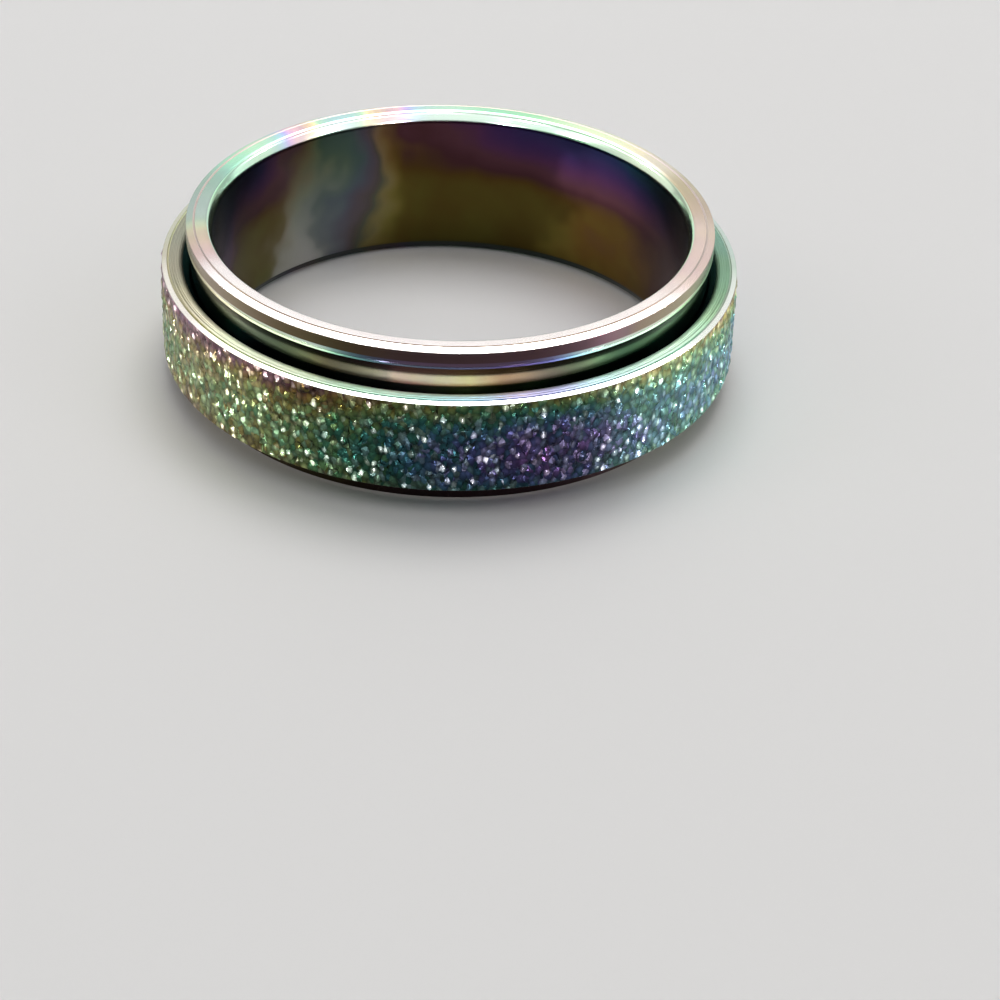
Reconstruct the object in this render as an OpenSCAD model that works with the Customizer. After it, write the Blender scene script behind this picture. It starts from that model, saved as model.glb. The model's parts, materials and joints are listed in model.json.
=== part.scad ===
// Spinner ring: a polished inner band with a raised lip along each edge, and a blasted
// outer band that runs freely in the channel between the two lips.
// Millimetres. The ring lies on its side: its axis is +Z and its lower rim stands on z = 0.

/* [Inner band] */
// Diameter of the finger bore, a US size 7
bore_d = 17.35; // [14:0.05:22]
// Width of the whole ring along its axis
band_w = 6; // [5:0.1:9]
// Thickness of the channel's floor, between the finger bore and the channel
floor_wall = 0.775; // [0.6:0.005:1.5]
// Height of each lip along the axis
lip_h = 0.76; // [0.6:0.01:1.2]
// How far each lip reaches out past the spinner's bore and holds it
lip_hold = 0.105; // [0.08:0.005:0.3]
// Bevel on each lip's edge towards the channel
lip_edge = 0.08; // [0.02:0.01:0.12]
// Radial width of the bevel between the finger bore and the flat of the rim
bore_bevel_w = 0.19; // [0.05:0.01:0.3]
// Depth of that bevel along the axis
bore_bevel_h = 0.35; // [0.05:0.01:0.6]
// Radial width of the sloped outer facet of the rim
facet_w = 0.295; // [0.1:0.005:0.4]
// How far the outer facet falls towards the lip's outer wall
facet_fall = 0.1; // [0.02:0.01:0.3]

/* [Spinner] */
// Thickness of the spinner, from its bore to its blasted surface
spinner_wall = 1.01; // [0.9:0.01:2]
// Radial gap between the spinner's bore and the channel's floor
running_gap = 0.09; // [0.05:0.01:0.2]
// Length that the spinner is narrower than the channel
side_play = 0.94; // [0.3:0.01:1.2]
// Height of the spinner above the lower lip, where it lies low in the channel
rest_gap = 0.15; // [0.05:0.01:0.25]
// Radial width of the chamfer at each end of the spinner's bore
chamfer_w = 0.34; // [0.1:0.01:0.45]
// Depth of that chamfer along the axis
chamfer_h = 0.4; // [0.1:0.01:0.6]
// Radial width of the polished bevel round each outer edge
edge_w = 0.22; // [0.1:0.01:0.3]
// How far the polished bevel falls towards the blasted surface
edge_fall = 0.055; // [0.02:0.005:0.15]

/* [Turned lines] */
// Width of the fine lines turned between the facets
line_w = 0.05; // [0.03:0.01:0.08]
// Depth of these lines
line_d = 0.03; // [0.01:0.01:0.05]

/* [Hidden] */

// Steps round every circle
round_steps = 240;

// Radii of the inner band, from the finger outwards
bore_r = bore_d / 2;
channel_r = bore_r + floor_wall;
lip_r = channel_r + running_gap + lip_hold;
facet_r = lip_r - facet_w;

// Heights of the inner band, from its middle plane
band_half = band_w / 2;
channel_half = band_half - lip_h;

// Radii of the spinner
spinner_bore_r = channel_r + running_gap;
spinner_r = spinner_bore_r + spinner_wall;
edge_r = spinner_r - edge_w;

// Heights of the spinner, from its own middle plane, and the height of that plane
spinner_half = channel_half - side_play / 2;
spinner_mid = lip_h + rest_gap + spinner_half;

// A turned line across an end face: the three points of its V, at radius r and height h
function turned_line(r, h, outwards) = [
    for (step = [-1, 0, 1])
        [r + outwards * step * line_w / 2, step == 0 ? h - line_d : h]
];

// Upper half of the inner band's section, from the channel over the rim to the bore
band_upper = concat(
    [
        [channel_r, channel_half],
        [lip_r - lip_edge, channel_half],
        [lip_r, channel_half + lip_edge],
        [lip_r, band_half - facet_fall]
    ],
    turned_line(facet_r, band_half, -1),
    [
        [bore_r + bore_bevel_w, band_half],
        [bore_r, band_half - bore_bevel_h]
    ]
);

// Upper half of the spinner's section, from its bore over the end face to its outer edge
spinner_upper = concat(
    [
        [spinner_bore_r, spinner_half - chamfer_h],
        [spinner_bore_r + chamfer_w, spinner_half]
    ],
    turned_line(edge_r, spinner_half, 1),
    [[spinner_r, spinner_half - edge_fall]]
);

// Closes an upper half with its mirror image and turns it round the axis
module turned_ring(upper) {
    lower = [for (i = [len(upper) - 1:-1:0]) [upper[i][0], -upper[i][1]]];
    rotate_extrude($fn = round_steps)
        polygon(concat(upper, lower));
}

// The inner band: one piece of steel with the finger bore, the channel and both lips
module inner_band() {
    color("#8c7f94")
        translate([0, 0, band_half])
            turned_ring(band_upper);
}

// The spinner: one loose hoop between the lips
module spinner_band() {
    color("#2f5c63")
        translate([0, 0, spinner_mid])
            turned_ring(spinner_upper);
}

inner_band();
spinner_band();
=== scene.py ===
"""Looks of a spinner ring: a polished, rainbow-coated inner band and its blasted spinner.

Sizes are in metres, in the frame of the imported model: the ring's axis is +Z, its lower rim lies
on z = 0 and the viewer stands at -Y. Both bands are turned from a section by one geometry tree.
"""

import json
import logging
import math
from dataclasses import dataclass, replace
from enum import Enum

import bpy
import numpy as np
from mathutils import Matrix, Vector

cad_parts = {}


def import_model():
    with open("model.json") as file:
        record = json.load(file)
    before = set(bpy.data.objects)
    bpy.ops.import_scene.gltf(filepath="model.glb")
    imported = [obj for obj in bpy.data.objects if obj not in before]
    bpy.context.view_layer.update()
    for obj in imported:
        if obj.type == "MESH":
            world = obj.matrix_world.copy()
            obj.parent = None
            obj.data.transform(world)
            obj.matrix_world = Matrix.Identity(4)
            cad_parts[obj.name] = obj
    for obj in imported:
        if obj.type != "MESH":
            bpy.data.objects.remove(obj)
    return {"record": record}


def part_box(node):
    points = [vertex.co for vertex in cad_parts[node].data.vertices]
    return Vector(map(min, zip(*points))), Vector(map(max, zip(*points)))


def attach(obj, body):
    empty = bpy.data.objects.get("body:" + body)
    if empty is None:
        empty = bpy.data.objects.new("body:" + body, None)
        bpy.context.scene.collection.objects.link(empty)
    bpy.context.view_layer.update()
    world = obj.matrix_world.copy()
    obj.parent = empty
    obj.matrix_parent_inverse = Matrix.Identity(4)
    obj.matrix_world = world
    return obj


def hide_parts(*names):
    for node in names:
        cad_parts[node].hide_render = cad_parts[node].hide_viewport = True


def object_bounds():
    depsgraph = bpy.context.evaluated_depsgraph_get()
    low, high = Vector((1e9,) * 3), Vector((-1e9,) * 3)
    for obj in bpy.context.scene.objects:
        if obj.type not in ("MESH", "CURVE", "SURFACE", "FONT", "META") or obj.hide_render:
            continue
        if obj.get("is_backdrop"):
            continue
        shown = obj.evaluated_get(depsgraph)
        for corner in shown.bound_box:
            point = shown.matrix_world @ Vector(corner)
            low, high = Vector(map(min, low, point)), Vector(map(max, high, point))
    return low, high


log = logging.getLogger("spinner_ring")

# A node's socket, the values of a node's sockets, and the points of a curve
Socket = bpy.types.NodeSocket
Values = dict[int | str, object]
Curve = tuple[tuple[float, float], ...]

MM = 0.001
# Steps round every band, and in a small rounding
STEPS_ROUND = 480
ARC_STEPS = 4
# A rounding wider than this has twice the steps and no creases
WIDE_ROUND = 0.1 * MM
# Where the wear beside a rounding ends, and how close points are that get merged
MARGIN = 0.08 * MM
WELD = 0.001 * MM
# How much the polish is rubbed on the outer edges, and on the edge that a finger touches
HARD_WEAR = 0.8
SLIGHT_WEAR = 0.4


class Wall(Enum):
    """The kinds of surface on the ring, each with a finish of its own."""

    RIM = 0
    BORE_BEVEL = 1
    BORE = 2
    LIP = 3
    LIP_EDGE = 4
    CHANNEL = 5
    SPINNER_FACE = 6
    SPINNER_BEVEL = 7
    SPINNER_BORE = 8
    BLASTED = 9
    TURNED_LINE = 10
    SPINNER_LINE = 11


class Nodes:
    """Adds nodes to one tree and links them.

    A value given for a socket may be a plain number, or the output socket of another node.
    """

    def __init__(self, tree: bpy.types.NodeTree) -> None:
        """Takes the tree that the nodes go into."""
        self.tree = tree

    def add(self, kind: str, values: Values | None = None, **settings: object) -> bpy.types.Node:
        """Adds one node.

        Args:
            kind: Blender's name of the node type.
            values: The values of its input sockets, by name or number.
            **settings: Properties of the node and their values.

        Returns:
            The new node.
        """
        node = self.tree.nodes.new(kind)
        for name, value in settings.items():
            setattr(node, name, value)
        for key, value in (values or {}).items():
            self.put(node.inputs[key], value)
        return node

    def put(self, socket: Socket, value: object) -> None:
        """Links an output to a socket, or sets the socket's own value.

        Args:
            socket: The input socket.
            value: The output that it is linked to, or a plain value.
        """
        if isinstance(value, Socket):
            self.tree.links.new(value, socket)
        else:
            socket.default_value = value

    def out(self, kind: str, values: Values | None = None, **settings: object) -> Socket:
        """Adds one node and gives its first output."""
        return self.add(kind, values, **settings).outputs[0]

    def math(self, operation: str, *values: object) -> Socket:
        """Adds a Math node and gives its result."""
        return self.out("ShaderNodeMath", dict(enumerate(values)), operation=operation)

    def vector(self, operation: str, *values: object) -> Socket:
        """Adds a Vector Math node and gives its result."""
        return self.out("ShaderNodeVectorMath", dict(enumerate(values)), operation=operation)

    def scale(self, vector: object, factor: object) -> Socket:
        """Multiplies a vector or a colour by a factor."""
        return self.out("ShaderNodeVectorMath", {0: vector, "Scale": factor}, operation="SCALE")

    def parts(self, vector: object) -> list[Socket]:
        """Gives the three parts of a vector."""
        return list(self.add("ShaderNodeSeparateXYZ", {0: vector}).outputs)

    def scaled(
        self, value: object, low: float, high: float, new_low: float, new_high: float,
    ) -> Socket:
        """Maps the range from low to high to the one from new_low to new_high, and clamps it."""
        return self.out("ShaderNodeMapRange", dict(enumerate((value, low, high, new_low, new_high))))

    def curve(self, value: object, points: Curve) -> Socket:
        """Reads a smooth curve through a few points.

        Args:
            value: Where the curve is read, from 0 to 1.
            points: The curve's points, from left to right.

        Returns:
            The curve's value.
        """
        node = self.add("ShaderNodeFloatCurve", {"Value": value})
        line = node.mapping.curves[0]
        for _ in range(len(points) - len(line.points)):
            line.points.new(0.5, 0.5)
        for point, place in zip(line.points, points):
            point.location = place
            point.handle_type = "AUTO_CLAMPED"
        node.mapping.use_clip = False
        node.mapping.update()
        return node.outputs[0]

    def mix(self, share: object, first: object, second: object, blend: str = "MIX") -> Socket:
        """Mixes two colours; share is how much of the second one goes in."""
        values = {"Factor": share, 6: first, 7: second}
        return self.add("ShaderNodeMix", values, data_type="RGBA", blend_type=blend).outputs[2]

    def noise(self, place: object, scale: float, detail: float = 2.0, kind: str = "3D") -> Socket:
        """Reads a noise texture.

        Args:
            place: Where it is read; a number for a noise of one dimension.
            scale: Waves in a metre.
            detail: Octaves.
            kind: Its number of dimensions, as Blender names it.

        Returns:
            The noise's value, around 0.5.
        """
        values = {"W" if kind == "1D" else "Vector": place, "Scale": scale, "Detail": detail}
        return self.out("ShaderNodeTexNoise", values, noise_dimensions=kind)


@dataclass(frozen=True)
class Corner:
    """One corner of a turned section, and the wall that follows it.

    Attributes:
        r: Distance from the axis.
        z: Height.
        wall: The surface from this corner to the next.
        radius: Rounding of the corner; 0 leaves it sharp.
        wear: How much the polish is rubbed on the rounding, from 0 to 1.
    """

    r: float
    z: float
    wall: Wall
    radius: float = 0.0
    wear: float = 0.0


@dataclass(frozen=True)
class SectionPoint:
    """One point of the finished section.

    Attributes:
        r: Distance from the axis.
        z: Height.
        wall: The surface of the strip that starts here.
        hard: Whether the shading breaks here.
        wear: How much the polish is rubbed here, from 0 to 1.
        grain: How much the blasting moves this point, from 0 to 1.
    """

    r: float
    z: float
    wall: Wall
    hard: bool = False
    wear: float = 0.0
    grain: float = 0.0


@dataclass
class Section:
    """A closed section that runs outwards, up, inwards and down again.

    Attributes:
        corners: Its corners, in that order.
        grain_rows: Rows of grains on a blasted wall.
    """

    corners: list[Corner]
    grain_rows: int = 0

    @classmethod
    def mirrored(
        cls, upper: list[Corner], inner: Wall, outer: Wall, middle: float, grain_rows: int = 0,
    ) -> "Section":
        """Closes the upper half of a section with its mirror image.

        Args:
            upper: Corners of the upper half, heights measured from the middle.
            inner: The wall that joins the halves on the inside.
            outer: The wall that joins them on the outside.
            middle: Height of the middle plane.
            grain_rows: Rows of grains on a blasted wall.

        Returns:
            The closed section, at its place.
        """
        top = [replace(c, z=middle + c.z) for c in upper]
        top[-1] = replace(top[-1], wall=inner)
        walls = [c.wall for c in upper[:-1]][::-1] + [outer]
        low = [replace(c, z=middle - c.z, wall=wall) for c, wall in zip(upper[::-1], walls)]
        return cls(top + low, grain_rows)

    def points(self) -> list[SectionPoint]:
        """Rounds the corners and adds the points beside them that keep the wear narrow.

        Returns:
            The points in order; the last one joins the first.
        """
        made: list[SectionPoint] = []
        for i in range(len(self.corners)):
            made += self._turn(i)
            made += self._along(i)
        return made

    def _spot(self, i: int) -> tuple[Corner, Vector]:
        """Gives a corner and its place; the count goes round."""
        corner = self.corners[i % len(self.corners)]
        return corner, Vector((corner.r, corner.z))

    def _bend(self, i: int) -> tuple[float, float]:
        """Measures a corner.

        Args:
            i: The corner's number.

        Returns:
            The angle that the outline turns by, and how far its rounding reaches along each wall.
        """
        corner, here = self._spot(i)
        come = here - self._spot(i - 1)[1]
        go = self._spot(i + 1)[1] - here
        turn = math.atan2(come.x * go.y - come.y * go.x, come.dot(go))
        return turn, corner.radius * math.tan(abs(turn) / 2)

    def _turn(self, i: int) -> list[SectionPoint]:
        """Makes the points of one corner.

        Args:
            i: The corner's number.

        Returns:
            One point if it is sharp, or those of its arc. A wide arc runs into its walls
            without a crease.
        """
        corner, here = self._spot(i)
        if not corner.radius:
            return [SectionPoint(corner.r, corner.z, corner.wall, hard=True)]
        before, there = self._spot(i - 1)
        come = (here - there).normalized()
        turn, reach = self._bend(i)
        start = here - come * reach
        side = Vector((-come.y, come.x)) * math.copysign(corner.radius, turn)
        wide = corner.radius > WIDE_ROUND
        steps = ARC_STEPS * 2 if wide else ARC_STEPS
        arc = []
        for step in range(steps + 1):
            place = start + side + Matrix.Rotation(turn * step / steps, 2) @ -side
            wall = before.wall if step * 2 < steps else corner.wall
            wear = corner.wear * math.sin(math.pi * step / steps)
            hard = not wide and step in (0, steps)
            arc.append(SectionPoint(place.x, place.y, wall, hard=hard, wear=wear))
        return arc

    def _along(self, i: int) -> list[SectionPoint]:
        """Makes the points between a corner and the next.

        Args:
            i: The corner's number.

        Returns:
            The margin points of a long wall, or the rows of a blasted one.
        """
        corner, start = self._spot(i)
        way = self._spot(i + 1)[1] - start
        if corner.wall is Wall.BLASTED:
            shares = [row / self.grain_rows for row in range(1, self.grain_rows)]
            return [SectionPoint(*(start + way * s), corner.wall, grain=1.0) for s in shares]
        first, last = self._bend(i)[1] + MARGIN, way.length - self._bend(i + 1)[1] - MARGIN
        if last - first < MARGIN:
            return []
        return [SectionPoint(*(start + way * (far / way.length)), corner.wall) for far in (first, last)]


@dataclass(frozen=True)
class Grain:
    """The blasted surface: small flat facets, each at an angle of its own.

    Attributes:
        depth: How far a facet's corner may move in or out; most corners move far less.
        sideways: How far it may move round the ring, as a share of a facet.
        lengthways: How far it may move along the axis.
        seed: Seed of the random moves.
    """

    depth: float = 0.065 * MM
    sideways: float = 0.36
    lengthways: float = 0.07 * MM
    seed: int = 11


class TurnedTree:
    """The geometry tree that turns a section round the axis and blasts what is marked for it.

    Its inputs are the section, as a mesh of loose points with attributes, the steps round the
    circle, and the grain's sizes and seed.

    Attributes:
        LEAST: Lowest value of the random moves and leans; the highest is 1.
    """

    LEAST = (-1.0, -1.0, -1.0)

    def __init__(self, materials: dict[Wall, bpy.types.Material]) -> None:
        """Builds the tree.

        Args:
            materials: The material of each wall that the tree's object has.
        """
        self.tree = bpy.data.node_groups.new("turned_band", "GeometryNodeTree")
        self.nodes = Nodes(self.tree)
        self.sockets: dict[str, str] = {}
        self._interface()
        self._build(materials)

    def _interface(self) -> None:
        face = self.tree.interface
        face.new_socket("Section", in_out="INPUT", socket_type="NodeSocketGeometry")
        for name, kind in (
            ("Steps", "Int"), ("Grain Depth", "Float"), ("Grain Sideways", "Float"),
            ("Grain Lengthways", "Float"), ("Grain Seed", "Int"),
        ):
            socket = face.new_socket(name, in_out="INPUT", socket_type="NodeSocket" + kind)
            self.sockets[name] = socket.identifier
        face.new_socket("Band", in_out="OUTPUT", socket_type="NodeSocketGeometry")

    def _named(self, name: str, kind: str) -> Socket:
        """Gives a named attribute of the given data type."""
        named = self.nodes.add("GeometryNodeInputNamedAttribute", {"Name": name}, data_type=kind)
        return named.outputs["Attribute"]

    def _read(self, section: object, name: str, kind: str, index: object) -> Socket:
        """Reads one attribute of the section at the point with the given index."""
        values = {"Geometry": section, "Value": self._named(name, kind), "Index": index}
        return self.nodes.out("GeometryNodeSampleIndex", values, data_type=kind)

    def _store(self, geometry: object, name: str, kind: str, domain: str, value: object) -> Socket:
        """Stores a value as a named attribute of the geometry."""
        values = {"Geometry": geometry, "Name": name, "Value": value}
        return self.nodes.out("GeometryNodeStoreNamedAttribute", values, data_type=kind, domain=domain)

    def _is(self, value: object, wall: Wall) -> Socket:
        """Tests whether a face's wall is the given one."""
        values = {2: value, 3: wall.value}
        return self.nodes.out("FunctionNodeCompare", values, data_type="INT", operation="EQUAL")

    def _turned(self, source: bpy.types.bpy_prop_collection) -> Socket:
        """Adds the nodes that bend a flat grid into the band and shake its blasted points.

        Args:
            source: The tree's inputs.

        Returns:
            The band, with its ends and sides still unjoined.
        """
        n = self.nodes
        section, steps = source["Section"], source["Steps"]
        size = n.add("GeometryNodeAttributeDomainSize", {0: section}, component="MESH")
        count = size.outputs["Point Count"]
        lines = {"Vertices X": n.math("ADD", steps, 1), "Vertices Y": n.math("ADD", count, 1)}
        grid = n.out("GeometryNodeMeshGrid", lines)
        x, y, _ = n.parts(n.out("GeometryNodeInputPosition"))
        across = n.math("MULTIPLY", n.math("ADD", y, 0.5), count)
        strip = n.math("FLOOR", across)
        column = n.math("ROUND", n.math("MULTIPLY", n.math("ADD", x, 0.5), steps))
        row = n.math("FLOORED_MODULO", n.math("ROUND", across), count)
        band = self._store(grid, "wall", "INT", "FACE", self._read(section, "wall", "INT", strip))
        band = self._store(band, "row", "INT", "POINT", row)
        wear = self._read(section, "wear", "FLOAT", row)
        band = self._store(band, "wear", "FLOAT", "POINT", wear)

        r, _, z = n.parts(self._read(section, "position", "FLOAT_VECTOR", row))
        number = n.math("ADD", n.math("FLOORED_MODULO", column, steps), n.math("MULTIPLY", row, steps))
        values = {"Min": self.LEAST, "ID": number, "Seed": source["Grain Seed"]}
        chance = n.out("FunctionNodeRandomValue", values, data_type="FLOAT_VECTOR")
        moved = n.scale(chance, self._read(section, "grain", "FLOAT", row))
        aside, along, out = n.parts(moved)
        aside = n.math("MULTIPLY", aside, source["Grain Sideways"])
        turn = n.math("MULTIPLY", n.math("DIVIDE", n.math("ADD", column, aside), steps), math.tau)
        out = n.math("MULTIPLY", out, n.math("ABSOLUTE", out))
        far = n.math("MULTIPLY_ADD", out, source["Grain Depth"], r)
        high = n.math("ADD", z, n.math("MULTIPLY", along, source["Grain Lengthways"]))
        point = n.out("ShaderNodeCombineXYZ", {
            "X": n.math("MULTIPLY", far, n.math("COSINE", turn)),
            "Y": n.math("MULTIPLY", far, n.math("SINE", turn)),
            "Z": high,
        })
        return n.out("GeometryNodeSetPosition", {"Geometry": band, "Position": point})

    def _build(self, materials: dict[Wall, bpy.types.Material]) -> None:
        """Adds the nodes: the turned grid, the weld, the blasted facets and the materials.

        Args:
            materials: The material of each wall.
        """
        n = self.nodes
        source = n.add("NodeGroupInput").outputs
        values = {"Geometry": self._turned(source), "Distance": WELD}
        weld = n.out("GeometryNodeMergeByDistance", values)
        kind = self._named("wall", "INT")
        rough = self._is(kind, Wall.BLASTED)
        values = {"Mesh": weld, "Selection": rough}
        facets = n.out("GeometryNodeTriangulate", values, quad_method="SHORTEST_DIAGONAL")
        values = {"Min": self.LEAST, "Seed": source["Grain Seed"]}
        flake = n.out("FunctionNodeRandomValue", values, data_type="FLOAT_VECTOR")
        flaked = self._store(facets, "flake", "FLOAT_VECTOR", "FACE", flake)
        polished = n.out("FunctionNodeBooleanMath", {0: rough}, operation="NOT")
        smooth = n.out("GeometryNodeSetShadeSmooth", {"Geometry": flaked, "Shade Smooth": polished})
        band = n.out("GeometryNodeRealizeInstances", {"Geometry": smooth})
        for wall, material in materials.items():
            values = {"Geometry": band, "Selection": self._is(kind, wall), "Material": material}
            band = n.out("GeometryNodeSetMaterial", values)
        n.add("NodeGroupOutput", {"Band": band})


class FilmColours:
    """The shared node group that gives the film's colour for a phase.

    The phase counts the rainbow's rounds: 0 is maroon, then come bronze, olive, green, teal,
    blue, indigo, purple and mauve, and 1 is maroon again.
    """

    STOPS = (
        (0.00, (0.200, 0.075, 0.090)),
        (0.08, (0.260, 0.150, 0.035)),
        (0.17, (0.330, 0.290, 0.060)),
        (0.25, (0.250, 0.370, 0.120)),
        (0.34, (0.080, 0.260, 0.110)),
        (0.44, (0.030, 0.200, 0.170)),
        (0.53, (0.040, 0.170, 0.260)),
        (0.62, (0.070, 0.090, 0.280)),
        (0.72, (0.150, 0.075, 0.280)),
        (0.83, (0.250, 0.090, 0.240)),
        (0.92, (0.280, 0.110, 0.150)),
        (1.00, (0.200, 0.075, 0.090)),
    )

    def __init__(self) -> None:
        """Builds the group."""
        self.group = bpy.data.node_groups.new("film_colours", "ShaderNodeTree")
        face = self.group.interface
        face.new_socket("Phase", in_out="INPUT", socket_type="NodeSocketFloat")
        face.new_socket("Colour", in_out="OUTPUT", socket_type="NodeSocketColor")
        n = Nodes(self.group)
        phase = n.math("FRACT", n.add("NodeGroupInput").outputs["Phase"])
        reader = n.add("ShaderNodeValToRGB", {0: phase})
        n.add("NodeGroupOutput", {"Colour": reader.outputs[0]})
        ramp = reader.color_ramp
        ramp.interpolation = "LINEAR"
        ramp.elements[0].position, ramp.elements[1].position = self.STOPS[0][0], self.STOPS[-1][0]
        for place, _ in self.STOPS[1:-1]:
            ramp.elements.new(place)
        for element, (_, colour) in zip(ramp.elements, self.STOPS):
            element.color = (*colour, 1.0)


def steady(value: float) -> Curve:
    """Gives a curve that is the same all round."""
    return ((0, value),)


@dataclass(frozen=True)
class Coat:
    """The rainbow film on one wall, the light and shade painted into its colour, and how the steel
    below it is finished.

    The film's phase is start + swing * rise, where start and swing change round the ring and
    rise changes with the height. Turns are in degrees from the right, towards the viewer, and
    a curve round the ring ends with the value that it starts with unless it goes up to 360.

    Attributes:
        start: (turn, phase) at the upper edge.
        swing: (turn, change of phase) down the wall.
        rise: (share of the height from the top, share of the swing).
        cover_and_painted_light: (turn, share of the film's colour over bare steel); partly painted
            light, paler bare steel where highlights fall, as on the rim's front.
        gain: (turn, factor on the film's colour); partly painted light and shade, brighter where light
            falls or is reflected and darker where shade falls.
        strip: (turn, share of that cover that is lost towards the lower edge); on the bore it paints
            the streak of a reflected light as paler bare steel.
        fade: (share of the height from the top, factor on the whole colour); painted shade on the lower
            bevel and lip, in the channel and towards the bottom of the bore.
        painted_glint_share: (turn, share of the grains that flash with a painted glint), on a blasted
            wall; more at the sides, where more light falls.
        roughness: Roughness of the polish.
        grooves: Depth of the turned grooves, in millimetres.
        smudge: How much the roughness varies.
        drift: How far the phase wanders.
        lean: Degrees round the ring that the colours shift by, from the upper edge to the lower.
        waver: Degrees round the ring that they waver by.
    """

    start: Curve = steady(0.0)
    swing: Curve = steady(0.0)
    rise: Curve = ((0, 0.0), (1, 1.0))
    cover_and_painted_light: Curve = steady(1.0)
    gain: Curve = steady(1.0)
    strip: Curve = steady(0.0)
    fade: Curve = ((0, 1.0), (1, 1.0))
    painted_glint_share: Curve = ()
    roughness: float = 0.12
    grooves: float = 0.0008
    smudge: float = 0.06
    drift: float = 0.16
    lean: float = 0.0
    waver: float = 0.0


STEEL = (0.92, 0.88, 0.865, 1.0)
WORN_STEEL = (0.62, 0.60, 0.58, 1.0)

# Film phase round the spinner's end faces, bevels and lines
AROUND: Curve = (
    (0, 0.36), (25, 0.34), (45, 0.40), (60, 0.54), (70, 0.64), (82, 0.52), (95, 0.44), (110, 0.34),
    (130, 0.22), (150, 0.18), (165, 0.16), (180, 0.20), (215, 0.24), (250, 0.36), (285, 0.58),
    (315, 0.66), (340, 0.42),
)

# Cover and gain round the ring are partly painted light and shade: each wall is brighter where the
# lights fall or are reflected, and darker where shade falls.
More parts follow.
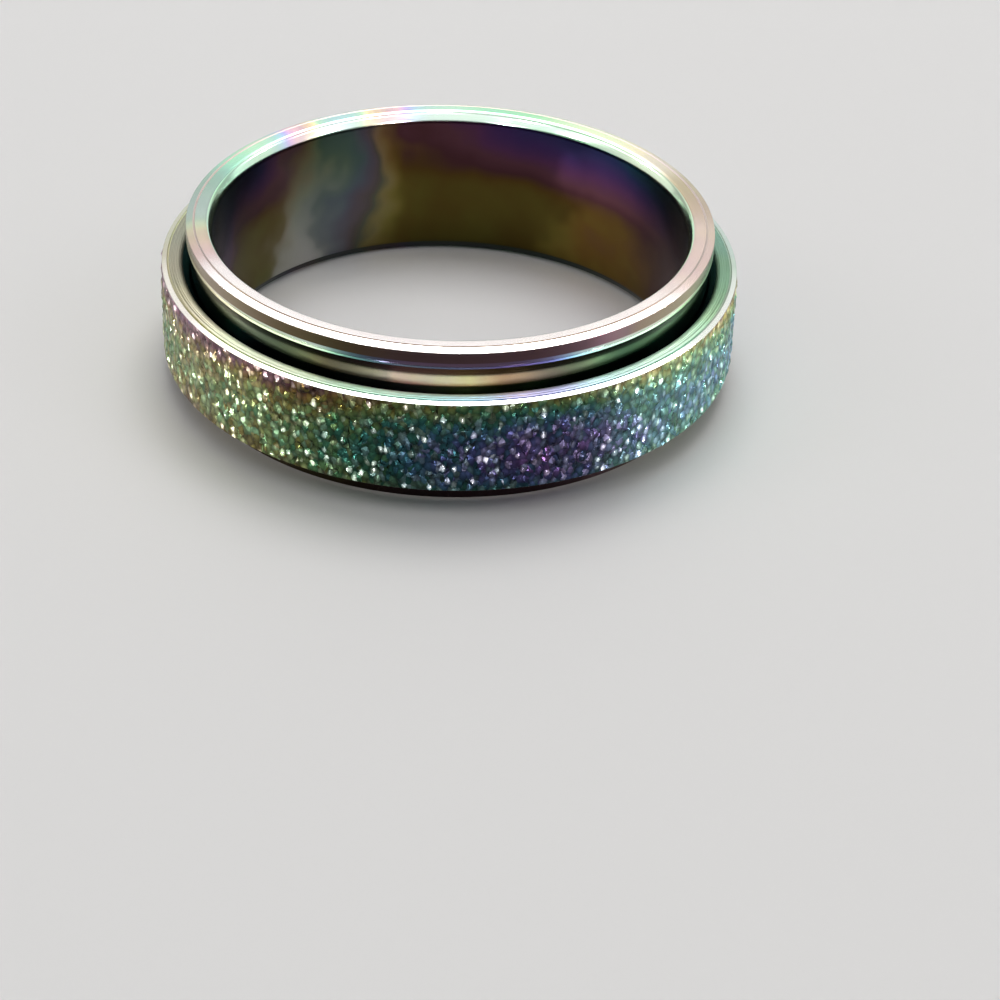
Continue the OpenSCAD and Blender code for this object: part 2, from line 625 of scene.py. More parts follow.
COATS: dict[Wall, Coat] = {
    Wall.RIM: Coat(
        start=((0, 0.05), (20, 0.05), (90, 0.04), (160, 0.05), (172, 0.24), (182, 0.42), (214, 0.36),
               (225, 0.86), (232, 1.14), (240, 1.46), (247, 1.16), (255, 0.92), (266, 0.38),
               (285, 0.36), (305, 0.26), (325, 0.17), (342, 0.14)),
        cover_and_painted_light=((0, 0.54), (18, 0.52), (30, 0.34), (45, 0.15), (90, 0.10), (148, 0.11), (160, 0.58),
               (180, 0.62), (200, 0.74), (215, 0.58), (232, 0.54), (255, 0.52), (266, 0.52),
               (282, 0.74), (300, 0.50), (325, 0.42), (340, 0.72)),
        gain=((0, 1.8), (30, 2.2), (150, 2.2), (165, 1.6), (180, 1.0), (200, 2.0), (215, 3.0),
              (300, 3.0), (320, 2.4), (340, 1.1)),
        roughness=0.20),
    Wall.TURNED_LINE: Coat(
        start=steady(0.06),
        cover_and_painted_light=((0, 0.55), (30, 0.65), (60, 0.94), (120, 0.94), (150, 0.65), (180, 0.55)),
        gain=((0, 1.0), (30, 1.0), (60, 0.6), (120, 0.6), (150, 1.0)), roughness=0.3),
    Wall.SPINNER_LINE: Coat(
        start=AROUND,
        cover_and_painted_light=((0, 0.6), (20, 0.7), (40, 1.0), (140, 1.0), (160, 0.7), (180, 0.6)),
        gain=((0, 1.2), (40, 0.6), (140, 0.6), (180, 1.2)), roughness=0.3),
    # Painted shade: the lower bevel's colour is darkened to 6%, as the contact shade at the floor.
    Wall.BORE_BEVEL: Coat(
        start=((0, 0.33), (30, 0.30), (180, 0.36), (213, 0.36), (224, 0.86), (231, 1.14), (239, 1.46),
               (246, 1.16), (254, 0.92), (266, 0.38), (300, 0.36), (330, 0.32)),
        cover_and_painted_light=((0, 0.5), (90, 0.3), (180, 0.5), (206, 0.44), (222, 0.42), (234, 0.30), (252, 0.34),
               (270, 0.34), (285, 0.42), (300, 0.52), (314, 0.38), (330, 0.36)),
        gain=((0, 3.0), (180, 3.0), (195, 4.4), (208, 3.2), (220, 3.0)),
        fade=((0, 1.0), (0.4, 1.0), (0.6, 0.06), (1, 0.06)), roughness=0.14),
    # Painted reflection: the strip turns the lower bore pale bare steel at 212–252°, the streak of a
    # reflected light; painted shade darkens the bore towards the bottom.
    Wall.BORE: Coat(
        start=((0, 0.54), (190, 0.54), (205, 0.58), (214, 0.72), (222, 0.95), (229, 1.15), (235, 1.34),
               (241, 1.47), (246, 1.78), (250, 2.07), (254, 2.05), (260, 1.93), (270, 1.80),
               (282, 1.66), (300, 1.62), (330, 1.54), (360, 1.54)),
        swing=((0, 0.3), (190, 0.25), (200, 0.50), (207, 0.55), (214, 0.44), (222, 0.26), (229, 0.20),
               (235, 0.14), (241, 0.16), (246, 0.26), (250, 0.04), (256, 0.10), (262, 0.24),
               (270, 0.34), (282, 0.48), (300, 0.49), (320, 0.53), (335, 0.48)),
        rise=((0, 0.0), (0.1, 0.08), (0.35, 0.62), (0.6, 1.0), (1, 1.0)),
        cover_and_painted_light=((0, 1.0), (205, 1.0), (214, 0.985), (222, 0.965), (230, 0.96), (238, 0.95), (243, 0.93),
               (248, 0.94), (258, 1.0)),
        strip=((0, 0.0), (212, 0.0), (218, 0.12), (228, 0.64), (233, 0.34), (239, 0.14), (246, 0.04),
               (252, 0.0)),
        gain=((0, 0.36), (200, 0.36), (214, 0.42), (222, 0.34), (230, 0.26), (237, 0.24), (243, 0.11),
              (247, 0.09), (251, 0.55), (256, 0.39), (265, 0.29), (285, 0.29), (297, 0.33), (312, 0.78),
              (322, 0.70), (345, 0.38)),
        fade=((0, 0.95), (0.1, 0.95), (0.35, 0.84), (0.65, 0.84), (1, 0.76)),
        roughness=0.20, drift=0.20, lean=5.0, waver=26.0),
    # Painted light and shade: brighter at 30–60° and 120–150°, where light falls, and the lower lip
    # halved as painted shade under the spinner.
    Wall.LIP: Coat(
        start=((0, 0.06), (15, 0.25), (30, 0.15), (45, 0.07), (60, -0.10), (75, -0.06),
               (90, -0.02), (105, 0.05), (120, 0.12), (135, 0.08), (150, 0.10), (180, 0.04),
               (270, 0.02)),
        cover_and_painted_light=((0, 0.80), (15, 0.88), (30, 0.74), (45, 0.77), (60, 0.94), (75, 0.98), (105, 0.98),
               (120, 0.96), (135, 0.87), (150, 0.80), (165, 0.84), (180, 0.80)),
        gain=((0, 0.4), (15, 0.5), (30, 0.9), (45, 0.9), (60, 0.34), (75, 0.17), (105, 0.15),
              (120, 0.28), (135, 0.55), (150, 0.75), (165, 0.45), (200, 0.3)),
        fade=((0, 1.0), (0.4, 1.0), (0.6, 0.5), (1, 0.5)), roughness=0.16),
    # Painted highlight on the lip's edge at the sides, dimmed at the front; the lower edge is halved as
    # painted shade.
    Wall.LIP_EDGE: Coat(
        start=((0, 0.30), (20, 0.20), (32, 0.24), (45, 0.34), (58, 0.46), (70, 0.66), (90, 0.80),
               (103, 0.60), (115, 0.40), (130, 0.30), (150, 0.24), (180, 0.20)),
        cover_and_painted_light=((0, 0.5), (22, 0.12), (45, 0.20), (60, 0.5), (75, 0.955), (105, 0.955), (117, 0.4),
               (135, 0.30), (152, 0.12), (168, 0.5)),
        gain=((0, 3.0), (50, 2.6), (66, 1.0), (78, 0.22), (100, 0.22), (112, 1.2), (125, 2.4)),
        fade=((0, 1.0), (0.4, 1.0), (0.6, 0.5), (1, 0.5)), roughness=0.12),
    # Painted shade under the upper lip and behind the spinner; full colour, up to three times as bright
    # at the front, only in the band where the spinner's end face is reflected, so that band is partly a
    # painted reflection.
    Wall.CHANNEL: Coat(
        start=((0, 0.30), (45, 0.33), (60, 0.19), (75, 0.09), (90, 0.035), (105, 0.02), (120, 0.22),
               (135, 0.33), (150, 0.30)),
        cover_and_painted_light=((0, 1.0), (45, 0.97), (60, 0.95), (75, 0.95), (90, 0.93), (105, 0.94), (113, 0.955),
               (121, 0.96), (135, 0.94), (150, 0.99), (180, 1.0)),
        gain=((0, 0.12), (30, 0.16), (45, 0.20), (60, 0.22), (72, 0.6), (82, 2.1), (93, 3.0),
              (101, 0.8), (108, 0.3), (115, 0.14), (125, 0.10), (150, 0.12)),
        fade=((0, 0.10), (0.14, 0.10), (0.17, 0.20), (0.19, 1.0), (0.238, 1.0), (0.25, 0.4), (1, 0.4)),
        roughness=0.14),
    # Painted light: the face is up to 4.9 times as bright at the front, where the lights are reflected,
    # and dark at the left.
    Wall.SPINNER_FACE: Coat(
        start=AROUND,
        cover_and_painted_light=((0, 0.89), (15, 0.84), (30, 0.5), (45, 0.35), (90, 0.55), (125, 0.24), (148, 0.40),
               (160, 0.70), (172, 0.79), (184, 0.81), (200, 0.86)),
        gain=((0, 0.75), (15, 1.1), (30, 3.0), (90, 4.9), (125, 4.2), (148, 2.0), (160, 0.8),
              (172, 0.35), (184, 0.30), (215, 0.9)),
        roughness=0.34, grooves=0.03),
    Wall.SPINNER_BEVEL: Coat(
        start=AROUND,
        cover_and_painted_light=((0, 0.45), (18, 0.14), (90, 0.20), (158, 0.14), (172, 0.35), (180, 0.55)),
        gain=((0, 1.6), (20, 2.4), (160, 2.2), (180, 0.9)), roughness=0.14),
    Wall.SPINNER_BORE: Coat(
        start=steady(0.47),
        cover_and_painted_light=((0, 0.86), (20, 0.9), (40, 1.0), (140, 1.0), (160, 0.9), (180, 0.86)),
        gain=((0, 1.6), (30, 0.9), (60, 0.5), (120, 0.5), (150, 0.9), (180, 1.6)),
        roughness=0.16),
    # Painted light: brighter at the sides and darker at the front as the light falls, with more painted
    # glints at the sides.
    Wall.BLASTED: Coat(
        start=((0, 0.12), (40, 0.14), (60, 0.17), (80, 0.22), (92, 0.20), (104, 0.08), (118, -0.02),
               (130, -0.08), (160, -0.14), (180, -0.10), (220, 0.0), (280, 0.08)),
        swing=((0, 0.34), (30, 0.33), (50, 0.38), (58, 0.46), (65, 0.50), (73, 0.43), (82, 0.35),
               (91, 0.30), (104, 0.31), (130, 0.36), (150, 0.40), (165, 0.41), (180, 0.34),
               (215, 0.3), (250, 0.45), (285, 0.6), (315, 0.58), (340, 0.42)),
        rise=((0, 0.0), (0.12, 0.35), (0.35, 0.85), (0.6, 1.0), (0.85, 0.90), (1, 0.70)),
        cover_and_painted_light=((0, 0.80), (30, 0.80), (45, 0.83), (56, 0.92), (64, 0.98), (112, 0.99), (122, 0.965),
               (135, 0.90), (150, 0.84), (180, 0.84), (270, 0.97), (330, 0.90)),
        gain=((0, 1.7), (20, 2.2), (38, 2.0), (50, 1.4), (60, 0.54), (70, 0.42), (90, 0.35),
              (110, 0.45), (125, 0.84), (135, 1.05), (160, 1.2), (180, 1.1), (270, 0.8)),
        painted_glint_share=((0, 0.44), (30, 0.44), (55, 0.28), (80, 0.14), (100, 0.15), (125, 0.28), (150, 0.31),
                (180, 0.36), (270, 0.35), (360, 0.46)),
        roughness=0.28, drift=0.24),
}


class CoatMaker:
    """Makes the material of a coat."""

    # Waves in a metre: the film's drift and blots, rubbed spots, turned grooves, the blasted
    # grains and their ragged outlines
    DRIFT_SCALE = 300.0
    BLOT_SCALE = 420.0
    RUB_SCALE = 5200.0
    GROOVE_SCALE = 16000.0
    GRAIN_SCALE = 6000.0
    RAG_SCALE = 8000.0
    # How much the grains are packed along each axis, where a small number makes them long; how
    # far their outlines are bent, and how high their domes are
    GRAIN_SHAPE = (0.78, 0.68, 0.56)
    RAG = 0.07 * MM
    DOME = 0.04 * MM
    # How far a grain and a facet of the mesh lean by chance, and how far a flash turns up
    GRAIN_LEAN = 0.5
    FACET_LEAN = 0.08
    FLASH_UP = 0.9
    # A grain's own part of the roughness and of the film's phase
    OWN_ROUGHNESS = 0.1
    OWN_PHASE = 0.16
    # A flash's factor on the colour, which paints a glint (pale grains take it too), and the distances
    # from a grain's middle where the painted glint fades out
    FLASH_GAIN = (2.4, 2.4, 2.4, 1.0)
    FLASH_EDGE = (0.2, 0.6)
    # The chance from which a grain is pale, and the most that it takes of a flash's colour
    PALE_FROM = 0.55
    PALE_SHARE = 0.17
    # Where the shade between the grains starts and is full, and its factor on the colour
    PIT_EDGE = (0.2, 0.75)
    PIT_SHADE = 0.40
    # Parts of the noises that make a smudge and a rubbed spot, and how bare that spot gets
    SMUDGE_PART = (0.35, 0.7)
    RUB_PART = (0.5, 0.8)
    RUB_SHARE = 0.25

    def __init__(self) -> None:
        """Makes the colour group that all coats share."""
        self.film = FilmColours()

    def make(self, wall: Wall, low: float, high: float) -> bpy.types.Material:
        """Makes the material of one wall's coat.

        Args:
            wall: The wall.
            low: Height of the band's lower rim.
            high: Height of its upper rim.

        Returns:
            The material.
        """
        coat = COATS[wall]
        material = bpy.data.materials.new("coated_" + wall.name.lower())
        material.use_nodes = True
        material.node_tree.nodes.clear()
        n = Nodes(material.node_tree)
        point = n.add("ShaderNodeTexCoord").outputs["Object"]
        x, y, z = n.parts(point)
        down = n.scaled(z, high, low, 0.0, 1.0)
        turn = n.math("DIVIDE", n.math("ARCTAN2", n.math("MULTIPLY", y, -1.0), x), math.tau)
        if coat.lean:
            shift = n.math("MULTIPLY", n.math("SUBTRACT", down, 0.5), coat.lean / 360)
            blot = n.math("SUBTRACT", n.noise(point, self.BLOT_SCALE), 0.5)
            shift = n.math("ADD", shift, n.math("MULTIPLY", blot, coat.waver / 360))
            turn = n.math("ADD", turn, shift)
        turn = n.math("FRACT", turn)
        start, swing, full, gain, strip = (
            self._round(n, turn, curve)
            for curve in (coat.start, coat.swing, coat.cover_and_painted_light, coat.gain, coat.strip)
        )
        # Where strip is set, bare steel shows lower down, a painted reflection on the bore.
        cover_and_painted_light = n.math("SUBTRACT", full, n.math("MULTIPLY", strip, n.math("MULTIPLY", down, down)))
        phase = n.math("MULTIPLY_ADD", swing, n.curve(down, coat.rise), start)
        drift = n.math("SUBTRACT", n.noise(point, self.DRIFT_SCALE, 3.0), 0.5)
        phase = n.math("MULTIPLY_ADD", drift, coat.drift, phase)

        film = n.add("ShaderNodeGroup", node_tree=self.film.group)
        shader = n.add("ShaderNodeBsdfPrincipled", {"Metallic": 1.0})
        # Cover and gain paint light and shade here in part, on top of the film's own colour.
        colour = n.mix(cover_and_painted_light, STEEL, n.scale(film.outputs[0], gain))
        # Painted shade: the colour is darkened by height on lower and hidden parts.
        colour = n.scale(colour, n.curve(down, coat.fade))
        if wall is Wall.BLASTED:
            # The share of grains with a painted glint, which changes round the ring as the light falls.
            painted_glint_share = self._round(n, turn, coat.painted_glint_share)
            phase, colour = self._blast(n, point, phase, colour, painted_glint_share, coat, shader)
        else:
            squares = n.math("ADD", n.math("MULTIPLY", x, x), n.math("MULTIPLY", y, y))
            self._polish(n, point, n.math("ADD", n.math("SQRT", squares), z), coat, shader)
        n.put(film.inputs["Phase"], phase)
        wear = n.add("ShaderNodeAttribute", attribute_name="wear").outputs["Fac"]
        rubbed = n.scaled(n.noise(point, self.RUB_SCALE, 3.0), *self.RUB_PART, 0.0, self.RUB_SHARE)
        colour = n.mix(n.math("MULTIPLY", wear, rubbed), colour, WORN_STEEL)
        n.put(shader.inputs["Base Color"], colour)
        n.add("ShaderNodeOutputMaterial", {"Surface": shader.outputs[0]})
        return material

    def _round(self, n: Nodes, turn: object, curve: Curve) -> Socket:
        """Reads a curve that is given in degrees round the ring.

        Args:
            n: The material's nodes.
            turn: Share of the way round the ring.
            curve: The curve's points; it is closed if it stops short of 360.

        Returns:
            The curve's value.
        """
        if curve[-1][0] < 360:
            curve += ((360, curve[0][1]),)
        return n.curve(turn, tuple((degrees / 360, value) for degrees, value in curve))

    def _polish(
        self, n: Nodes, point: object, across: object, coat: Coat, shader: bpy.types.Node,
    ) -> None:
        """Gives the shader a turned and polished surface.

        Args:
            n: The material's nodes.
            point: Object coordinates.
            across: Distance across the turned grooves.
            coat: The coat.
            shader: The shader that gets it.
        """
        smudge = n.noise(point, self.BLOT_SCALE, 4.0)
        most = coat.roughness + coat.smudge
        n.put(shader.inputs["Roughness"], n.scaled(smudge, *self.SMUDGE_PART, coat.roughness, most))
        height = n.noise(across, self.GROOVE_SCALE, 2.0, "1D")
        values = {"Strength": 1.0, "Distance": coat.grooves * MM, "Height": height}
        n.put(shader.inputs["Normal"], n.out("ShaderNodeBump", values))

    def _blast(
        self, n: Nodes, point: object, phase: object, colour: object, painted_glint_share: object, coat: Coat,
        shader: bpy.types.Node,
    ) -> tuple[Socket, Socket]:
        """Gives the shader a blasted surface of small domed grains; some are pale, some flash with a
        painted glint, and painted shade lies between them.

        Args:
            n: The material's nodes.
            point: Object coordinates.
            phase: The film's phase.
            colour: The film's colour on the steel.
            painted_glint_share: Share of the grains that flash with a painted glint.
            coat: The coat.
            shader: The shader that gets it.

        Returns:
            The phase and the colour, with each grain's own part in them.
        """
        facet = n.add("ShaderNodeAttribute", attribute_name="flake").outputs["Vector"]
        rags = n.add("ShaderNodeTexNoise", {"Vector": point, "Scale": self.RAG_SCALE, "Detail": 1.0})
        shaped = n.vector("MULTIPLY", point, self.GRAIN_SHAPE)
        bent = n.vector("MULTIPLY_ADD", rags.outputs["Color"], (self.RAG,) * 3, shaped)
        grains = n.add("ShaderNodeTexVoronoi", {"Vector": bent, "Scale": self.GRAIN_SCALE}).outputs
        far, chance = grains["Distance"], grains["Color"]
        lot, pale, tint = n.add("ShaderNodeSeparateColor", {0: chance}).outputs

        values = {"Strength": 1.0, "Distance": self.DOME, "Height": far}
        dome = n.out("ShaderNodeBump", values, invert=True)
        lean = n.vector("MULTIPLY_ADD", chance, (self.GRAIN_LEAN,) * 3, (-self.GRAIN_LEAN / 2,) * 3)
        lean = n.vector("MULTIPLY_ADD", facet, (self.FACET_LEAN,) * 3, lean)
        # A flashing grain's middle turns up and gets a painted glint: its colour goes to the bright
        # flash colour.
        flash = n.math("DIVIDE", n.math("SUBTRACT", n.math("ADD", lot, painted_glint_share), 1.0), painted_glint_share)
        core = n.scaled(far, *self.FLASH_EDGE, 1.0, 0.0)
        spot = n.math("MULTIPLY", n.math("MAXIMUM", flash, 0.0), core)
        up = n.out("ShaderNodeCombineXYZ", {"Z": n.math("MULTIPLY", spot, self.FLASH_UP)})
        tilt = n.vector("ADD", n.vector("ADD", dome, up), lean)
        n.put(shader.inputs["Normal"], n.vector("NORMALIZE", tilt))
        least, most = coat.roughness - self.OWN_ROUGHNESS, coat.roughness + self.OWN_ROUGHNESS
        n.put(shader.inputs["Roughness"], n.scaled(pale, 0.0, 1.0, least, most))

        bright = n.mix(0.5, n.mix(1.0, colour, self.FLASH_GAIN, "MULTIPLY"), STEEL)
        fleck = n.mix(n.scaled(pale, self.PALE_FROM, 1.0, 0.0, self.PALE_SHARE), colour, bright)
        # Painted shade: the colour darkens between the grains.
        shaded_between_grains = n.scale(fleck, n.scaled(far, *self.PIT_EDGE, 1.0, self.PIT_SHADE))
        own = n.math("MULTIPLY_ADD", n.math("SUBTRACT", tint, 0.5), self.OWN_PHASE, phase)
        return own, n.mix(spot, shaded_between_grains, bright)


@dataclass
class Band:
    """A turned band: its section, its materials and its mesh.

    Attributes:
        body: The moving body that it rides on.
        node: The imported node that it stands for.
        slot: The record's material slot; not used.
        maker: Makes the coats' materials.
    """

    body: str
    node: str
    slot: str
    maker: CoatMaker

    def section(self) -> Section:
        """Gives the band's section; each kind of band has its own."""
        raise NotImplementedError

    def section_mesh(self, points: list[SectionPoint]) -> bpy.types.Mesh:
        """Makes the section a mesh of loose points.

        Args:
            points: The section's points.

        Returns:
            The mesh, with each point's wall, wear and grain as attributes.
        """
        mesh = bpy.data.meshes.new(self.node + "_section")
        mesh.from_pydata([(p.r, 0.0, p.z) for p in points], [], [])
        for name, kind, values in (
            ("wall", "INT", [p.wall.value for p in points]),
            ("wear", "FLOAT", [p.wear for p in points]),
            ("grain", "FLOAT", [p.grain for p in points]),
        ):
            mesh.attributes.new(name, kind, "POINT").data.foreach_set("value", values)
        return mesh

    def materials(self, points: list[SectionPoint]) -> dict[Wall, bpy.types.Material]:
        """Makes the material of each wall that the section has.

        Args:
            points: The section's points.

        Returns:
            The walls and their materials.
        """
        low, high = min(p.z for p in points), max(p.z for p in points)
        walls = dict.fromkeys(p.wall for p in points)
        return {wall: self.maker.make(wall, low, high) for wall in walls}

    def build(self, grain: Grain) -> bpy.types.Object:
        """Turns the section and dresses it.

        Args:
            grain: The blasted surface's sizes.

        Returns:
            The finished object, riding on its body.
        """
        points = self.section().points()
        band = bpy.data.objects.new(self.node + "_finish", self.section_mesh(points))
        bpy.context.scene.collection.objects.link(band)
        tree = TurnedTree(self.materials(points))
        turning = band.modifiers.new("turning", "NODES")
        turning.node_group = tree.tree
        for name, value in (
            ("Steps", STEPS_ROUND), ("Grain Depth", grain.depth), ("Grain Sideways", grain.sideways),
            ("Grain Lengthways", grain.lengthways), ("Grain Seed", grain.seed),
        ):
            turning[tree.sockets[name]] = value
        ready = band.evaluated_get(bpy.context.evaluated_depsgraph_get())
        turned = bpy.data.meshes.new_from_object(ready)
        band.modifiers.remove(turning)
        band.data = turned
        self._break_shading(turned, points)
        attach(band, self.body)
        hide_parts(self.node)
        return band

    def _break_shading(self, mesh: bpy.types.Mesh, points: list[SectionPoint]) -> None:
        """Marks the edges round the ring at the section's hard points as sharp.

        Args:
            mesh: The turned mesh.
            points: The section's points.
        """
        rows = np.zeros(len(mesh.vertices), np.int32)
        mesh.attributes["row"].data.foreach_get("value", rows)
        ends = np.zeros(len(mesh.edges) * 2, np.int32)
        mesh.edges.foreach_get("vertices", ends)
        first, second = rows[ends[0::2]], rows[ends[1::2]]
        hard = np.array([p.hard for p in points])
        sharp = mesh.attributes.new("sharp_edge", "BOOLEAN", "EDGE")
        sharp.data.foreach_set("value", (first == second) & hard[first])


@dataclass
class InnerBand(Band):
    """The inner band: finger bore, channel and a lip along each edge.

    Attributes:
        bore_r: Radius of the finger bore.
        lip_r: Radius of the lips' outer walls.
        width: Width along the axis.
        channel_r: Radius of the channel's floor.
        lip_h: Height of each lip.
        lip_edge: How far each lip's underside stops short of its outer wall.
        lip_slope: Radial width and height of the sloped foot of the lip's wall.
        lip_round: Radius of the bend from that foot into the wall.
        bevel_w: Radial width of the bore's bevel.
        bevel_h: Depth of the bore's bevel.
        facet_w: Radial width of the rim's outer facet.
        facet_fall: How far that facet falls.
        line_w: Width of the line turned between the facets.
        line_d: Depth of that line.
        foot_round: Rounding of the lip's lower edge.
        outer_round: Rounding of the rim's outer edge.
        inner_round: Rounding of the rim's inner edge.
        bore_round: Rounding between the bevel and the bore.
    """

    bore_r: float = 0.0
    lip_r: float = 0.0
    width: float = 0.0
    channel_r: float = 9.50 * MM
    lip_h: float = 0.76 * MM
    lip_edge: float = 0.06 * MM
    lip_slope: tuple[float, float] = (0.033 * MM, 0.115 * MM)
    lip_round: float = 0.8 * MM
    bevel_w: float = 0.19 * MM
    bevel_h: float = 0.35 * MM
    facet_w: float = 0.295 * MM
    facet_fall: float = 0.1 * MM
    line_w: float = 0.08 * MM
    line_d: float = 0.025 * MM
    foot_round: float = 0.01 * MM
    outer_round: float = 0.03 * MM
    inner_round: float = 0.25 * MM
    bore_round: float = 0.5 * MM

    def section(self) -> Section:
        """Lays out the section, from the channel over the rim to the bore.

        Returns:
            The section, standing on z = 0.
        """
        half = self.width / 2
        floor = half - self.lip_h
        line_r = self.lip_r - self.facet_w
        slope_w, slope_h = self.lip_slope
        foot = self.lip_edge - slope_w
        upper = [
            Corner(self.channel_r, floor, Wall.CHANNEL),
            Corner(self.lip_r - self.lip_edge, floor, Wall.LIP_EDGE, self.foot_round),
            Corner(self.lip_r - slope_w, floor + foot, Wall.LIP_EDGE),
            Corner(self.lip_r, floor + foot + slope_h, Wall.LIP_EDGE, self.lip_round),
            Corner(self.lip_r, floor + foot + slope_h * 2, Wall.LIP),
            Corner(self.lip_r, half - self.facet_fall, Wall.RIM, self.outer_round, HARD_WEAR),
            Corner(line_r + self.line_w / 2, half, Wall.TURNED_LINE),
            Corner(line_r, half - self.line_d, Wall.TURNED_LINE),
            Corner(line_r - self.line_w / 2, half, Wall.RIM),
            Corner(self.bore_r + self.bevel_w, half, Wall.BORE_BEVEL, self.inner_round, SLIGHT_WEAR),
            Corner(self.bore_r, half - self.bevel_h, Wall.BORE, self.bore_round),
        ]
        return Section.mirrored(upper, Wall.BORE, Wall.CHANNEL, half)


@dataclass
class SpinnerBand(Band):
    """The spinner: a polished hoop with a blasted outer wall.

    Attributes:
        outer_r: Radius of the blasted wall.
        low: Height of the lower face.
        high: Height of the upper face.
        thick: Thickness from the bore to the blasted wall.
        chamfer_w: Radial width of the bore's chamfer.
        chamfer_h: Depth of that chamfer.
        edge_w: Radial width of the outer bevel.
        edge_fall: How far that bevel falls.
        line_w: Width of the line turned inside the bevel.
        line_d: Depth of that line.
        edge_round: Rounding of the outer edge.
        face_round: Rounding of the end face's inner edge.
        face_end: Share of the chamfer that has the face's finish.
        bore_round: Rounding between the chamfer and the bore.
        grain_rows: Rows of grains on the blasted wall.
    """

    outer_r: float = 0.0
    low: float = 0.0
    high: float = 0.0
    thick: float = 1.01 * MM
    chamfer_w: float = 0.34 * MM
    chamfer_h: float = 0.4 * MM
    edge_w: float = 0.22 * MM
    edge_fall: float = 0.055 * MM
    line_w: float = 0.08 * MM
    line_d: float = 0.03 * MM
    edge_round: float = 0.02 * MM
    face_round: float = 0.16 * MM
    face_end: float = 0.25
    bore_round: float = 0.03 * MM
    grain_rows: int = 16

    def section(self) -> Section:
        """Lays out the section, from the blasted wall over the end face to the bore.

        Returns:
            The section, at the spinner's height.
        """
        half = (self.high - self.low) / 2
        bore_r = self.outer_r - self.thick
        line_r = self.outer_r - self.edge_w
        face_r = bore_r + self.chamfer_w
        face_end = (face_r - self.chamfer_w * self.face_end, half - self.chamfer_h * self.face_end)
        outside = [
            Corner(self.outer_r, half - self.edge_fall, Wall.SPINNER_BEVEL, self.edge_round, HARD_WEAR),
            Corner(line_r + self.line_w / 2, half, Wall.SPINNER_LINE),
            Corner(line_r, half - self.line_d, Wall.SPINNER_LINE),
            Corner(line_r - self.line_w / 2, half, Wall.SPINNER_FACE),
            Corner(face_r, half, Wall.SPINNER_FACE, self.face_round),
            Corner(*face_end, Wall.SPINNER_BORE),
            Corner(bore_r, half - self.chamfer_h, Wall.SPINNER_BORE, self.bore_round),
        ]
        middle = (self.high + self.low) / 2
        return Section.mirrored(outside, Wall.SPINNER_BORE, Wall.BLASTED, middle, self.grain_rows)


@dataclass(frozen=True)
class Softbox:
    """A square soft light that faces the ring.

    Attributes:
        name: Its name.
        turn: Degrees round the ring from the viewer, towards the right.
        rise: Degrees above the table.
        far: Distance.
        size: Side of the square.
        power: Watts.
        gleam_only: Whether only glossy surfaces see it.
    """

    name: str
    turn: float
    rise: float
    far: float
    size: float
    power: float
    gleam_only: bool = False

    def place(self, centre: Vector) -> None:
        """Makes the light.

        Args:
            centre: What it faces.
        """
        light = bpy.data.lights.new(self.name, "AREA")
        light.size = self.size
        light.energy = self.power
        lamp = bpy.data.objects.new(self.name, light)
        turn, rise = math.radians(self.turn), math.radians(self.rise)
        level = math.cos(rise)
        away = Vector((math.sin(turn) * level, -math.cos(turn) * level, math.sin(rise)))
        lamp.location = centre + away * self.far
        lamp.rotation_euler = away.to_track_quat("Z", "Y").to_euler()
        lamp.visible_diffuse = not self.gleam_only
        lamp.visible_camera = False
        bpy.context.scene.collection.objects.link(lamp)


# Degrees round the ring and above the table of the small lights that the grains flash in
GLEAMS = (
    (-25, 12), (30, 8), (-60, 20), (65, 15), (12, 58), (-105, 25), (110, 30), (-40, 42), (48, 46),
)

SOFTBOXES = (
    Softbox("key_softbox", 170, 66, 0.5, 0.30, 1.2),
    Softbox("top_softbox", 0, 90, 0.5, 0.70, 0.8),
    Softbox("left_softbox", -80, 35, 0.5, 0.20, 0.2),
    Softbox("right_softbox", 75, 40, 0.5, 0.20, 0.2),
    Softbox("back_panel", 180, 32, 0.6, 0.80, 1.0, True),
    Softbox("high_left_panel", -150, 60, 0.5, 0.32, 0.60, True),
    Softbox("high_right_panel", 150, 60, 0.5, 0.28, 0.32, True),
    Softbox("front_panel", 0, 34, 0.6, 0.50, 0.8, True),
    Softbox("front_left_panel", -45, 28, 0.6, 0.40, 0.45, True),
    Softbox("front_right_panel", 45, 28, 0.6, 0.40, 0.45, True),
    Softbox("left_panel", -95, 18, 0.6, 0.70, 0.8, True),
    Softbox("right_panel", 95, 18, 0.6, 0.70, 1.0, True),
    *(Softbox(f"gleam_{i}", *place, 0.5, 0.03, 0.5, True) for i, place in enumerate(GLEAMS, 1)),
)


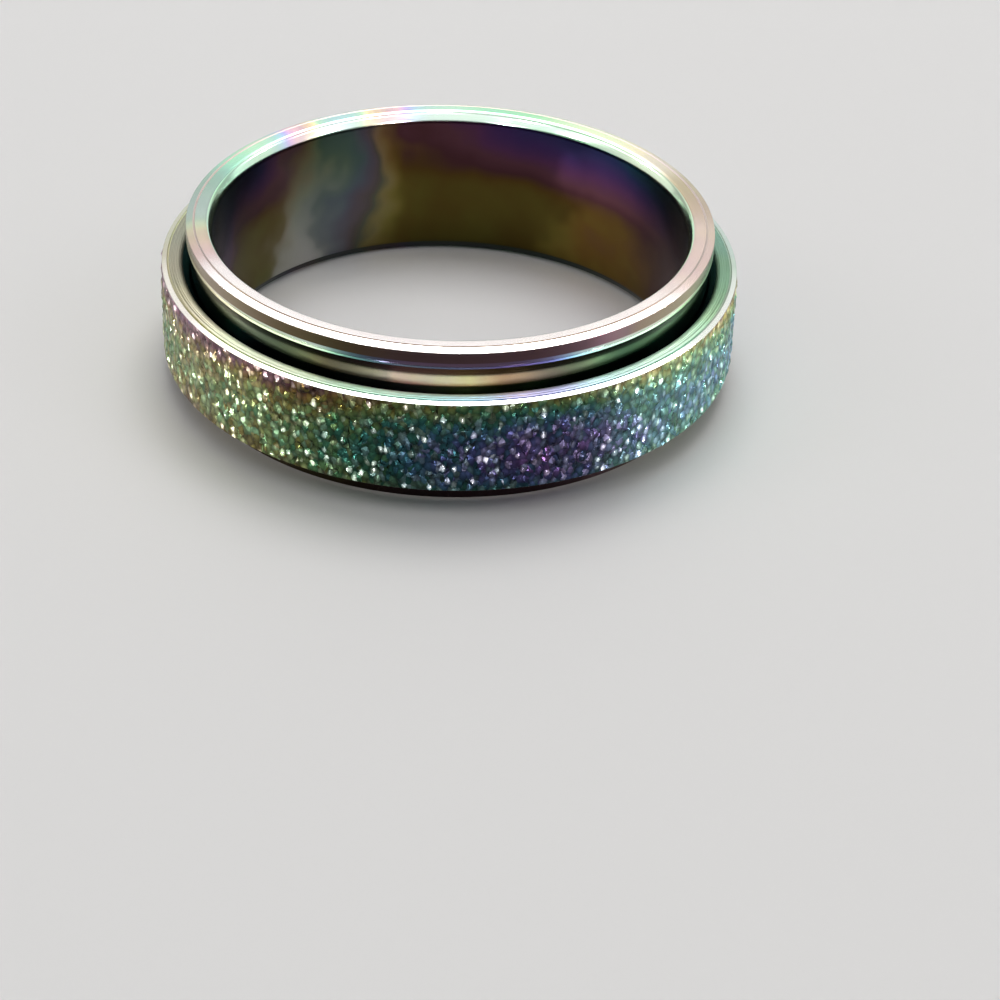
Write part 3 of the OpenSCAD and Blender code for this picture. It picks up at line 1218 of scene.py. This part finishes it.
@dataclass
class Studio:
    """The floor, the lights and the camera.

    Attributes:
        floor_half: Half the floor's side.
        floor_colour: The floor's pale grey.
        floor_roughness: How matt it is.
        room_front: Strength of the room's light behind the viewer.
        room_back: Its strength behind the ring.
        room_low: Factor on it at the height of the table.
        room_colour: Its colour.
        camera_at: Where the camera stands.
        camera_down: Degrees that it looks down.
        camera_roll: Degrees that it leans.
        camera_lens: Its focal length, in millimetres.
        camera_sensor: Width of its sensor, in millimetres.
        camera_clip: The nearest and the farthest that it sees.
        boxes: The soft lights.
    """

    floor_half: float = 1.5
    floor_colour: tuple[float, float, float, float] = (0.62, 0.61, 0.60, 1.0)
    floor_roughness: float = 0.7
    room_front: float = 0.12
    room_back: float = 0.60
    room_low: float = 0.75
    room_colour: tuple[float, float, float, float] = (0.97, 0.98, 1.0, 1.0)
    camera_at: tuple[float, float, float] = (2.187 * MM, -94.44 * MM, 55.73 * MM)
    camera_down: float = 33.276
    camera_roll: float = 2.247
    camera_lens: float = 104.8
    camera_sensor: float = 36.0
    camera_clip: tuple[float, float] = (0.005, 10.0)
    boxes: tuple[Softbox, ...] = SOFTBOXES

    def build(self, centre: Vector) -> None:
        """Makes everything round the ring.

        Args:
            centre: The ring's middle, which the lights face.
        """
        self._floor()
        self._world()
        self._camera()
        for box in self.boxes:
            box.place(centre)

    def _floor(self) -> None:
        """Makes the plain pale floor."""
        mesh = bpy.data.meshes.new("floor")
        h = self.floor_half
        mesh.from_pydata([(-h, -h, 0), (h, -h, 0), (h, h, 0), (-h, h, 0)], [], [(0, 1, 2, 3)])
        floor = bpy.data.objects.new("floor", mesh)
        bpy.context.scene.collection.objects.link(floor)
        material = bpy.data.materials.new("pale_floor")
        material.use_nodes = True
        shader = material.node_tree.nodes["Principled BSDF"]
        shader.inputs["Base Color"].default_value = self.floor_colour
        shader.inputs["Roughness"].default_value = self.floor_roughness
        mesh.materials.append(material)
        floor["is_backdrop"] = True

    def _world(self) -> None:
        """Makes the room's light: bright above and behind the ring, dimmer behind the viewer."""
        world = bpy.data.worlds.new("room")
        bpy.context.scene.world = world
        world.use_nodes = True
        n = Nodes(world.node_tree)
        _, y, z = n.parts(n.add("ShaderNodeTexCoord").outputs["Generated"])
        back = n.scaled(y, -1.0, 1.0, self.room_front, self.room_back)
        light = n.math("MULTIPLY", back, n.scaled(z, 0.0, 1.0, self.room_low, 1.0))
        ground = world.node_tree.nodes["Background"]
        n.put(ground.inputs["Strength"], light)
        n.put(ground.inputs["Color"], self.room_colour)

    def _camera(self) -> None:
        """Makes the camera at the photograph's angle."""
        data = bpy.data.cameras.new("camera")
        data.sensor_width = self.camera_sensor
        data.lens = self.camera_lens
        data.clip_start, data.clip_end = self.camera_clip
        camera = bpy.data.objects.new("camera", data)
        tilt = Matrix.Rotation(math.radians(90 - self.camera_down), 4, "X")
        lean = Matrix.Rotation(math.radians(self.camera_roll), 4, "Z")
        camera.matrix_world = Matrix.Translation(self.camera_at) @ tilt @ lean
        bpy.context.scene.collection.objects.link(camera)
        bpy.context.scene.camera = camera


def main() -> None:
    logging.basicConfig(level=logging.INFO, format="%(name)s: %(message)s")
    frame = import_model()
    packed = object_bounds()
    bpy.context.scene.view_settings.view_transform = "Standard"
    inner_low, inner_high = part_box("inner_band")
    low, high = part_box("spinner_band")
    bore = next(m for m in frame["record"]["mounts"] if m["name"] == "finger_bore")
    maker = CoatMaker()
    bands = (
        InnerBand(
            "band", "inner_band", "polished_rainbow_steel", maker,
            bore_r=bore["dims"]["r_mm"] * MM, lip_r=inner_high.x, width=inner_high.z - inner_low.z,
        ),
        SpinnerBand(
            "spinner", "spinner_band", "blasted_rainbow_steel", maker,
            outer_r=high.x, low=low.z, high=high.z,
        ),
    )
    for band in bands:
        piece = band.build(Grain())
        size = [round(side / MM, 3) for side in piece.dimensions]
        log.info("%s: %d faces, size %s mm", piece.name, len(piece.data.polygons), size)
    Studio().build((packed[0] + packed[1]) / 2)


if __name__ == "__main__":
    main()
